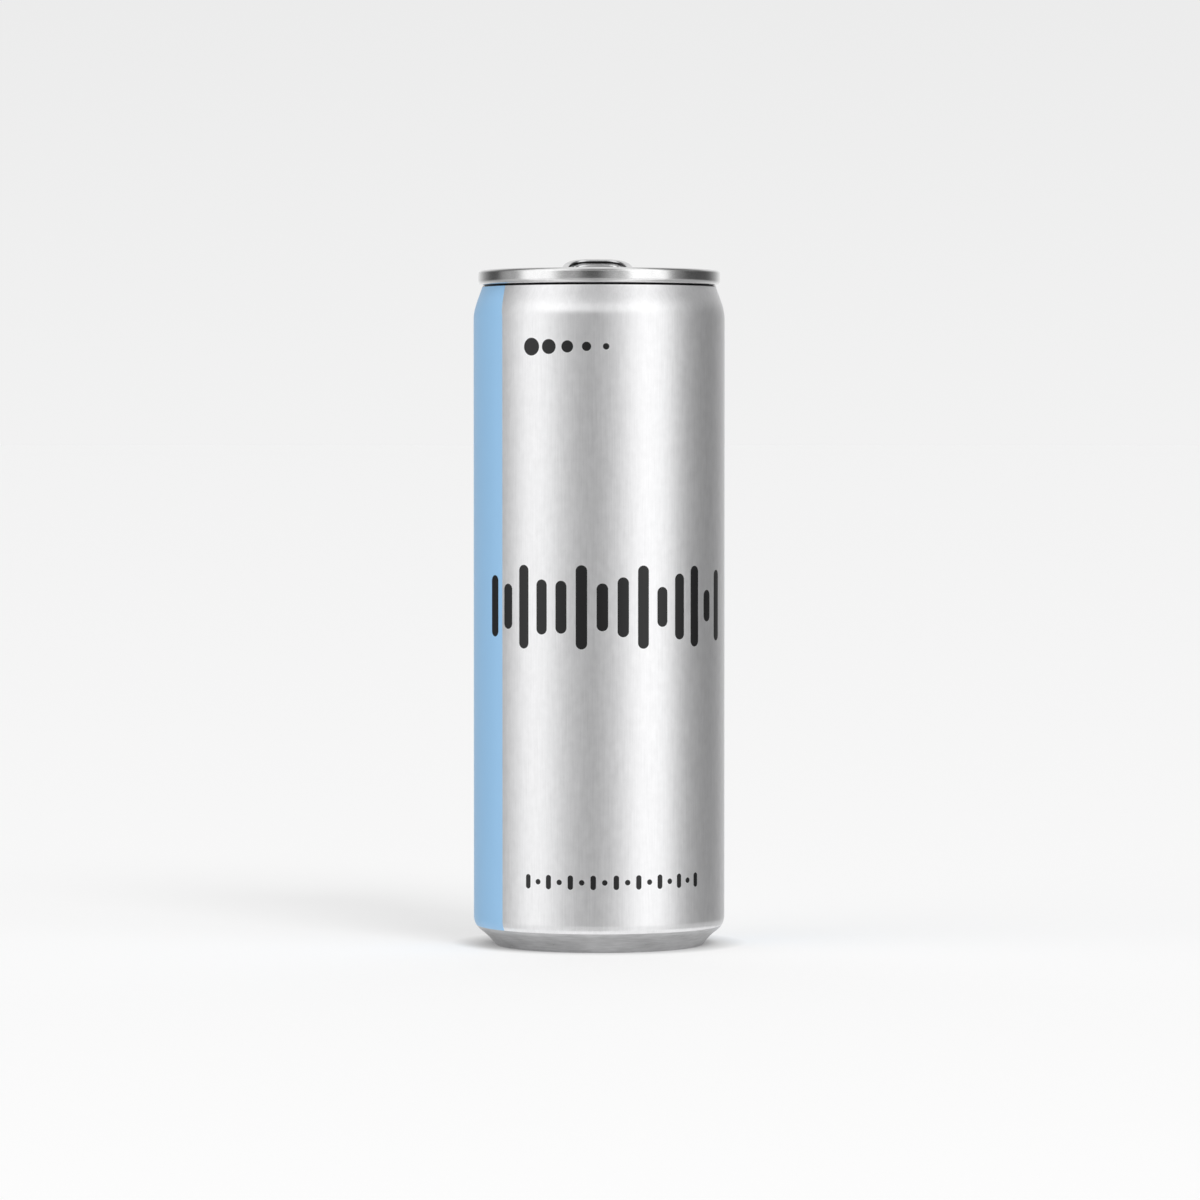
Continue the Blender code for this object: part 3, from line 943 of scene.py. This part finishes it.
def slot_outline():
    """The C-shaped cut that leaves a tongue joined to the web at the nose side."""
    outer_gap = math.degrees(math.asin((TONGUE_HALF_WIDTH + SLOT_FLARE) / SLOT_HALF[0]))
    inner_gap = math.degrees(math.asin(TONGUE_HALF_WIDTH / TONGUE_RADIUS))
    outer = oval(SLOT_Y, *SLOT_HALF, 2.0, 48, outer_gap - 90.0, 270.0 - outer_gap)
    inner = oval(0.0, TONGUE_RADIUS, TONGUE_RADIUS, 2.0, 40, inner_gap - 90.0, 270.0 - inner_gap)
    return np.vstack([outer, inner[::-1]])


def finger_hem(sides=12):
    """A rounded hem round the finger hole, as a closed tube."""
    rims = []
    for turn in np.arange(sides) * (math.tau / sides):
        out = HEM_RADIUS * (1.0 + math.cos(turn))
        half = (FINGER_HOLE_HALF[0] + out, FINGER_HOLE_HALF[1] + out)
        rim = oval(FINGER_HOLE_Y, *half, FINGER_HOLE_POWER, 96)
        rims.append(at_height(rim, HEM_Z + HEM_RADIUS * math.sin(turn)))
    return mesh_object("finger_hem", *lofted(rims[::-1], closed=True))


def joined_surface(blank, cutters, extra, voxel):
    """Cuts the blank, joins the extra solid to it, and gives one even, softened surface."""
    for cutter in cutters:
        cut = blank.modifiers.new(cutter.name, "BOOLEAN")
        cut.operation = "DIFFERENCE"
        cut.object = cutter
        cut.solver = "EXACT"
    depsgraph = bpy.context.evaluated_depsgraph_get()
    plate = bpy.data.meshes.new_from_object(blank.evaluated_get(depsgraph))
    blank.modifiers.clear()
    blank.data = plate
    with bpy.context.temp_override(
        active_object=blank, selected_editable_objects=[blank, extra], selected_objects=[blank, extra]
    ):
        bpy.ops.object.join()
    remesh = blank.modifiers.new("even_surface", "REMESH")
    remesh.mode = "VOXEL"
    remesh.voxel_size = voxel
    soften = blank.modifiers.new("soft_edges", "SMOOTH")
    soften.factor = 0.5
    soften.iterations = 5
    depsgraph = bpy.context.evaluated_depsgraph_get()
    mesh = bpy.data.meshes.new_from_object(blank.evaluated_get(depsgraph))
    for item in [blank] + cutters:
        bpy.data.objects.remove(item, do_unlink=True)
    return mesh


def painted_fold_shade(points, half_width):
    """How much painted shade each point gets under the curl's inner side, at the finger end."""
    x, y, z = points.T
    depth = -oval_distance(x, y, MIDDLE_Y, half_width, HALF_LENGTH, END_POWER)
    return soft_band(z, *SHADE_HEIGHTS) * soft_band(depth, *SHADE_DEPTHS) * smooth_step(y, *SHADE_FROM)


def press_tab(points):
    """Stamped ribs on the rails and at the nose, raised by a little on both faces."""
    x, y, z = points.T
    rails = ridge(np.abs(x) - RAIL_RIB_X, RAIL_RIB_WIDTH) * soft_band(y, *RAIL_RIB_ENDS)
    nose = ridge(oval_distance(x, y, *NOSE_RIB), NOSE_RIB_WIDTH) * smooth_step(-y, *NOSE_RIB_FROM)
    return np.stack([x, y, z + RIB_HEIGHT * rails + RIB_HEIGHT * nose], axis=1)


def place_tab(points, tab, base_z):
    """Tilts the tab up about its nose and folds the tongue down flat on the panel."""
    flat_x, y, z = points.T
    tilted_y = PIVOT_Y + (y - PIVOT_Y) * math.cos(tab.tilt) - z * math.sin(tab.tilt)
    tilted_z = base_z + (y - PIVOT_Y) * math.sin(tab.tilt) + z * math.cos(tab.tilt)
    in_disc = np.hypot(flat_x, y) < TONGUE_RADIUS + TONGUE_MARGIN
    in_neck = (np.abs(flat_x) < TONGUE_HALF_WIDTH + TONGUE_NECK_MARGIN) & (y < 0.0)
    tongue = (in_disc | in_neck) & (y > TONGUE_FOLD[0])
    folded = np.where(tongue, smooth_step(y, *TONGUE_FOLD), 0.0)
    flat_y = tilted_y + (y - tilted_y) * folded
    flat_z = tilted_z + (base_z + z - tilted_z) * folded
    turned_x = flat_x * math.cos(tab.turn) - flat_y * math.sin(tab.turn)
    turned_y = flat_x * math.sin(tab.turn) + flat_y * math.cos(tab.turn)
    return np.stack([turned_x, turned_y, flat_z], axis=1)


class MESH_OT_drink_can_tab(Operator):
    """Make the pull tab with its curled edge, finger hole, slot and tongue"""

    bl_idname = "mesh.drink_can_tab"
    bl_label = "Pull tab"

    def execute(self, context):
        tab = context.scene.drink_can_tab
        half_width = tab.half_width / MM
        loops = [at_height(tab_outline(half_width, inset), z) for inset, z in tab_sections(tab)]
        blank = mesh_object("tab_blank", *lofted(loops))
        finger_hole = oval(FINGER_HOLE_Y, *FINGER_HOLE_HALF, FINGER_HOLE_POWER, 96)
        rivet_hole = oval(0.0, RIVET_HOLE_RADIUS, RIVET_HOLE_RADIUS, 2.0, 48)
        cutters = [
            through_cutter("finger_cutter", finger_hole),
            through_cutter("slot_cutter", slot_outline()),
            through_cutter("rivet_cutter", rivet_hole),
        ]
        surface = joined_surface(blank, cutters, finger_hem(), tab.voxel / MM)
        if len(surface.vertices) < LEAST_POINTS:
            raise RuntimeError("the tab's surface came out empty")
        points = np.empty(len(surface.vertices) * 3)
        surface.vertices.foreach_get("co", points)
        flat = points.reshape(-1, 3)
        # Painted shade under the curl's inner side, kept on the mesh for the tab's material
        shade = painted_fold_shade(flat, half_width)
        points = place_tab(press_tab(flat), tab, TAB_LOW[2] / MM) * MM
        faces = [tuple(face.vertices) for face in surface.polygons]
        piece = add_piece("pull_tab_ring", points, faces, "pull_tab")
        piece.data.attributes.new("painted_fold_shade", "FLOAT", "POINT").data.foreach_set("value", shade)
        piece.data.materials.append(stamped_aluminium(
            "bright_stamped_tab_aluminium", ("#CDCDCE", "#EDEDED"), (0.14, 0.22), 0.08, "painted_fold_shade"
        ))
        bpy.data.meshes.remove(surface)
        return {"FINISHED"}


# Stage

# The light panels round the can, as the metal mirrors them: name, direction from the front in
# degrees, half width, soft edge, brightness. The low ones stand from the horizon up to
# HIGH_FROM. Below the horizon they go on, dimmed to BELOW_SHARE and laid over BELOW_LEVEL.
LOW_PANELS = (
    ("left softbox", -60.0, 19.0, 12.0, 1.16),
    ("right softbox", 49.5, 20.3, 13.0, 1.22),
    ("left scrim", -29.5, 11.5, 9.0, 0.33),
    ("right scrim", 22.0, 14.0, 17.0, 0.46),
    ("left wing", -92.0, 14.0, 20.0, 0.32),
    ("right wing", 78.0, 9.0, 16.0, 0.14),
    ("backdrop", 180.0, 30.0, 60.0, 1.00),
)
HIGH_PANELS = (
    ("left softbox, upper part", -58.0, 30.0, 30.0, 0.93),
    ("right softbox, upper part", 49.0, 25.0, 26.0, 1.00),
    ("backdrop, upper part", 180.0, 42.0, 40.0, 0.65),
)
FRONT_PANELS = (
    *HIGH_PANELS,
    ("front card", 0.0, 60.0, 50.0, 0.36),
)
LOW_LEVEL = 0.08
BELOW_LEVEL = 0.38
BELOW_SHARE = 0.5
HIGH_LEVEL = 0.20
UPPER_LEVEL = 0.16
CEILING_LEVEL = 0.9

# The heights in degrees over which each part of the surroundings takes over
BELOW_FROM = (-2.0, -18.0)
HIGH_FROM = (13.0, 21.0)
UPPER_FROM = (32.0, 37.0)
CEILING_FROM = (62.0, 74.0)
BACKDROP_HEIGHT = 4.25

# The floor's own glow: the even part, the part that grows towards a spot in front of the can,
# and the painted shade beside the foot, where the glow is dimmed. Lengths are in metres.
# The metal mirrors the floor only out to FLOOR_NEAR.
FLOOR_TONE = "#BCBCBC"
FLOOR_GLOW = 0.428
FLOOR_FRONT_GLOW = 0.066
FLOOR_FRONT_SPOT = [0.0, -1.0, 0.0]
FLOOR_FRONT_SOFTNESS = 0.2
FOOT_SHADE_SPOT = [0.0, 4 * MM, 0.0]
FOOT_SHADE_SPAN = {"From Min": 24 * MM, "From Max": 34 * MM, "To Min": 0.3, "To Max": 1.0}
FLOOR_NEAR = 0.034
FLOOR_REACH = 60.0
FLOOR_SIDES = 128

# The key light, in degrees: how far to the right of the front and how high, and its size
KEY_STRENGTH = 1.15
KEY_FROM = (26.0, 40.0)
KEY_SIZE = 24.0


def floor_paper():
    """Matt seamless paper that glows, so that the shadow on it stays faint.

    It glows more towards the front, and less close beside the foot, as painted shade.
    """
    material, tree, shader = new_material("matt_seamless_paper")
    position = add_node(tree, "ShaderNodeTexCoord").outputs["Object"]
    from_spot = add_node(
        tree, "ShaderNodeVectorMath", {0: position, 1: FLOOR_FRONT_SPOT}, operation="DISTANCE"
    )
    spread = add_node(
        tree, "ShaderNodeMath", {0: from_spot.outputs["Value"], 1: FLOOR_FRONT_SOFTNESS}, operation="ADD"
    )
    front = add_node(
        tree, "ShaderNodeMath", {0: FLOOR_FRONT_GLOW, 1: spread.outputs[0]}, operation="DIVIDE"
    )
    glow = add_node(tree, "ShaderNodeMath", {0: front.outputs[0], 1: FLOOR_GLOW}, operation="ADD")
    # Painted shade beside the foot: the glow is dimmed near it
    from_foot = add_node(
        tree, "ShaderNodeVectorMath", {0: position, 1: FOOT_SHADE_SPOT}, operation="DISTANCE"
    )
    painted_foot_shade = add_node(
        tree, "ShaderNodeMapRange", {"Value": from_foot.outputs["Value"], **FOOT_SHADE_SPAN}
    )
    shaded = add_node(
        tree, "ShaderNodeMath", {0: glow.outputs[0], 1: painted_foot_shade.outputs[0]}, operation="MULTIPLY"
    )
    set_inputs(tree, shader, {
        "Base Color": (*srgb(FLOOR_TONE), 1.0), "Roughness": 1.0, "Specular IOR Level": 0.0,
        "Emission Color": (1.0, 1.0, 1.0, 1.0), "Emission Strength": shaded.outputs[0],
    })
    return material


def panel_level(tree, turn, panels, level):
    """The brightness of a ring of soft panels on an even level, by the direction round the can."""
    for _name, direction, half_width, soft, brightness in panels:
        apart = add_node(
            tree, "ShaderNodeMath", {0: turn, 1: math.radians(direction)}, operation="SUBTRACT"
        )
        nearest = add_node(
            tree, "ShaderNodeMath", {0: apart.outputs[0], 1: math.pi, 2: -math.pi}, operation="WRAP"
        )
        size = add_node(tree, "ShaderNodeMath", {0: nearest.outputs[0]}, operation="ABSOLUTE")
        glow = add_node(
            tree, "ShaderNodeMapRange",
            {
                "Value": size.outputs[0],
                "From Min": math.radians(half_width - soft / 2),
                "From Max": math.radians(half_width + soft / 2),
                "To Min": brightness, "To Max": 0.0,
            },
            interpolation_type="SMOOTHSTEP",
        )
        total = add_node(tree, "ShaderNodeMath", {0: level, 1: glow.outputs[0]}, operation="ADD")
        level = total.outputs[0]
    return level


def studio_world(stage):
    """Soft panels round the can for its metal to mirror, and the plain backdrop that the camera sees."""
    world = bpy.data.worlds.new("studio")
    world.use_nodes = True
    tree = world.node_tree
    tree.nodes.clear()
    way = add_node(tree, "ShaderNodeTexCoord").outputs["Generated"]
    turn, z = round_coordinates(tree, way)
    height = add_node(tree, "ShaderNodeMath", {0: z}, operation="ARCSINE").outputs[0]

    level = panel_level(tree, turn, LOW_PANELS, LOW_LEVEL)
    high = panel_level(tree, turn, FRONT_PANELS, HIGH_LEVEL)
    upper = panel_level(tree, turn, HIGH_PANELS, UPPER_LEVEL)
    below = add_node(
        tree, "ShaderNodeMath", {0: level, 1: BELOW_SHARE, 2: BELOW_LEVEL}, operation="MULTIPLY_ADD"
    )
    steps = (
        (BELOW_FROM, below.outputs[0]), (HIGH_FROM, high), (UPPER_FROM, upper),
        (CEILING_FROM, CEILING_LEVEL),
    )
    for (start, end), reached in steps:
        share = add_node(
            tree, "ShaderNodeMapRange",
            {"Value": height, "From Min": math.radians(start), "From Max": math.radians(end)},
            interpolation_type="SMOOTHSTEP",
        )
        level = add_node(
            tree, "ShaderNodeMix", {0: share.outputs[0], 2: level, 3: reached}, data_type="FLOAT"
        ).outputs[0]

    up = add_node(
        tree, "ShaderNodeMapRange",
        {"Value": height, "From Min": 0.0, "From Max": math.radians(BACKDROP_HEIGHT)},
    )
    seen = add_node(
        tree, "ShaderNodeMix",
        {"Factor": up.outputs[0], 6: (*stage.backdrop_low, 1.0), 7: (*stage.backdrop_high, 1.0)},
        data_type="RGBA",
    )
    to_camera = add_node(tree, "ShaderNodeLightPath").outputs["Is Camera Ray"]
    final = add_node(
        tree, "ShaderNodeMix", {"Factor": to_camera, 6: level, 7: seen.outputs[2]}, data_type="RGBA"
    )
    sky = add_node(tree, "ShaderNodeBackground", {"Color": final.outputs[2], "Strength": 1.0})
    add_node(tree, "ShaderNodeOutputWorld", {"Surface": sky.outputs[0]})
    return world


def add_floor():
    """A wide floor, of which the metal mirrors only the part near the can."""
    turns = np.linspace(0.0, math.tau, FLOOR_SIDES, endpoint=False)
    around = at_height(np.column_stack([np.cos(turns), np.sin(turns)]), 0.0)
    near = mesh_object("floor_near", FLOOR_NEAR * around, [list(range(FLOOR_SIDES))])
    rings = np.vstack([FLOOR_NEAR * around, FLOOR_REACH * around])
    far = mesh_object("floor_far", rings, ring_faces([(1, 0)], FLOOR_SIDES))
    far.visible_glossy = False
    paper = floor_paper()
    for floor in (near, far):
        floor.data.materials.append(paper)


def add_key_light():
    """A large soft light from the front right, for the faint shadow that falls back and to the left."""
    data = bpy.data.lights.new("key_light", "SUN")
    data.angle = math.radians(KEY_SIZE)
    data.energy = KEY_STRENGTH
    light = bpy.data.objects.new("key_light", data)
    direction, height = (math.radians(value) for value in KEY_FROM)
    away = Vector((math.sin(direction), -math.cos(direction), math.tan(height)))
    light.location = away
    light.rotation_euler = away.to_track_quat("Z", "Y").to_euler()
    light.visible_glossy = False
    bpy.context.scene.collection.objects.link(light)


def add_camera(stage):
    """The camera, in front of the can and a little under its rim."""
    data = bpy.data.cameras.new("camera")
    data.lens = stage.lens
    data.sensor_width = 36.0
    data.sensor_fit = "HORIZONTAL"
    data.clip_start = 0.05
    data.clip_end = 200.0
    camera = bpy.data.objects.new("camera", data)
    camera.location = (0.0, -stage.camera_distance, stage.camera_height)
    camera.rotation_euler = (math.pi / 2 - stage.camera_pitch, 0.0, -stage.camera_yaw)
    bpy.context.scene.collection.objects.link(camera)
    bpy.context.scene.camera = camera


class SCENE_OT_drink_can_stage(Operator):
    """Set up the floor, the backdrop, the soft light and the camera"""

    bl_idname = "scene.drink_can_stage"
    bl_label = "Stage"

    def execute(self, context):
        stage = context.scene.drink_can_stage
        context.scene.world = studio_world(stage)
        context.scene.view_settings.view_transform = "Standard"
        add_floor()
        add_key_light()
        add_camera(stage)
        return {"FINISHED"}


class VIEW3D_PT_drink_can(Panel):
    """Lists the can's settings and the steps that make it"""

    bl_label = "Drink Can"
    bl_idname = "VIEW3D_PT_drink_can"
    bl_space_type = "VIEW_3D"
    bl_region_type = "UI"
    bl_category = "Drink Can"

    def draw(self, context):
        for group, operator in STEPS:
            box = self.layout.box()
            settings = getattr(context.scene, group)
            for key in settings.__annotations__:
                box.prop(settings, key)
            if operator:
                box.operator(operator)


STEPS = (
    ("drink_can_print", None),
    ("drink_can_body", MESH_OT_drink_can_body.bl_idname),
    ("drink_can_lid", MESH_OT_drink_can_lid.bl_idname),
    ("drink_can_tab", MESH_OT_drink_can_tab.bl_idname),
    ("drink_can_stage", SCENE_OT_drink_can_stage.bl_idname),
)
SETTINGS = {
    "drink_can_print": DrinkCanPrint,
    "drink_can_body": DrinkCanBody,
    "drink_can_lid": DrinkCanLid,
    "drink_can_tab": DrinkCanTab,
    "drink_can_stage": DrinkCanStage,
}
CLASSES = (
    *SETTINGS.values(),
    MESH_OT_drink_can_body,
    MESH_OT_drink_can_lid,
    MESH_OT_drink_can_tab,
    SCENE_OT_drink_can_stage,
    VIEW3D_PT_drink_can,
)


def register():
    for item in CLASSES:
        bpy.utils.register_class(item)
    for name, group in SETTINGS.items():
        setattr(bpy.types.Scene, name, PointerProperty(type=group))


def unregister():
    for name in SETTINGS:
        delattr(bpy.types.Scene, name)
    for item in reversed(CLASSES):
        bpy.utils.unregister_class(item)


def main():
    register()
    bpy.ops.mesh.drink_can_body()
    bpy.ops.mesh.drink_can_lid()
    bpy.ops.mesh.drink_can_tab()
    bpy.ops.scene.drink_can_stage()
    bpy.context.view_layer.update()


if __name__ == "__main__":
    main()
